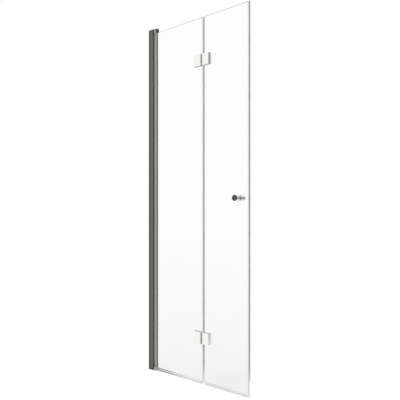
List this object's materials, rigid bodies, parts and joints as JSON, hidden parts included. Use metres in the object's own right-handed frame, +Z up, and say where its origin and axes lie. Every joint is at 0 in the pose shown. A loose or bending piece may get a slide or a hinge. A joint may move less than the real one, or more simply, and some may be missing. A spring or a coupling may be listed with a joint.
{
  "type": "bifold shower door",
  "caption": "Frameless bifold shower door: wall profile, round rise-and-fall pivot profile, folding glass panels on glass hinges, round double knob and clear seals.",
  "frame": {"origin": "on the tray or floor, at the middle of the closed door's width, in the middle plane of the glass", "axes": "+X along the closed door from the wall to the closing edge, +Y into the shower, +Z up"},
  "size_m": [0.75, 0.069, 1.92],
  "materials": {
    "dark_profile": "satin, dark warm grey",
    "pivot_metal": "satin",
    "chrome": "polished",
    "steel": "turned",
    "clear_glass": "toughened, clear",
    "clear_seal": "clear soft extrusion",
    "black_plastic": "moulded",
    "soft_black": "soft",
    "acetal": "moulded, low friction",
    "magnet": "plastic-bound magnet"
  },
  "bodies": {
    "wall_frame": {"wall_channel": "dark_profile", "frame_profile": "dark_profile", "profile_top_cap": "black_plastic", "profile_foot_cap": "black_plastic", "adjusting_screws": "steel", "adjusting_screw_caps": "dark_profile", "lip_seal": "soft_black", "top_bearing_cap": "pivot_metal", "bottom_bearing_cap": "pivot_metal", "bearing_screws": "steel", "top_bearing_bush": "acetal", "bearing_cover": "pivot_metal", "lower_pivot_pin": "steel", "lift_cam": "acetal"},
    "pivot_key": {"upper_pivot_pin": "steel", "pivot_pin_clip": "steel"},
    "inner_panel": {"pivot_profile": "pivot_metal", "upper_pivot_plug": "acetal", "lower_pivot_plug": "acetal", "clamp_gasket": "soft_black", "inner_glass": "clear_glass", "inner_drip_seal": "clear_seal", "fold_seal": "clear_seal", "upper_hinge_inner_leaf": "chrome", "upper_hinge_inner_pad": "soft_black", "upper_hinge_inner_discs": "chrome", "upper_hinge_pin": "steel", "upper_hinge_washer": "acetal", "lower_hinge_inner_leaf": "chrome", "lower_hinge_inner_pad": "soft_black", "lower_hinge_inner_discs": "chrome", "lower_hinge_pin": "steel", "lower_hinge_washer": "acetal"},
    "outer_panel": {"upper_hinge_outer_leaf": "chrome", "upper_hinge_outer_pad": "soft_black", "upper_hinge_outer_discs": "chrome", "lower_hinge_outer_leaf": "chrome", "lower_hinge_outer_pad": "soft_black", "lower_hinge_outer_discs": "chrome", "outer_glass": "clear_glass", "outer_drip_seal": "clear_seal", "closing_seal": "clear_seal", "magnet_strip": "magnet", "outside_knob": "chrome", "shower_side_knob": "chrome", "knob_stud": "steel", "knob_pads": "soft_black", "knob_grub_screw": "steel"}
  },
  "joints": [
    {"name": "wall_pivot", "type": "hinge", "parent": "wall_frame", "child": "pivot_key", "pos_m": [-0.325, 0, 0], "axis": [0, 0, 1], "range_deg": [0, 90]},
    {"name": "door_lift", "type": "slide", "parent": "pivot_key", "child": "inner_panel", "axis": [0, 0, 1], "range_m": [0, 0.006]},
    {"name": "fold_hinge", "type": "hinge", "parent": "inner_panel", "child": "outer_panel", "pos_m": [0.059, -0.0197, 0], "axis": [0, 0, -1], "range_deg": [0, 180]}
  ],
  "couplings": [
    {"joint": "door_lift", "follows": "wall_pivot", "m_per_rad": 0.0038197}
  ]
}
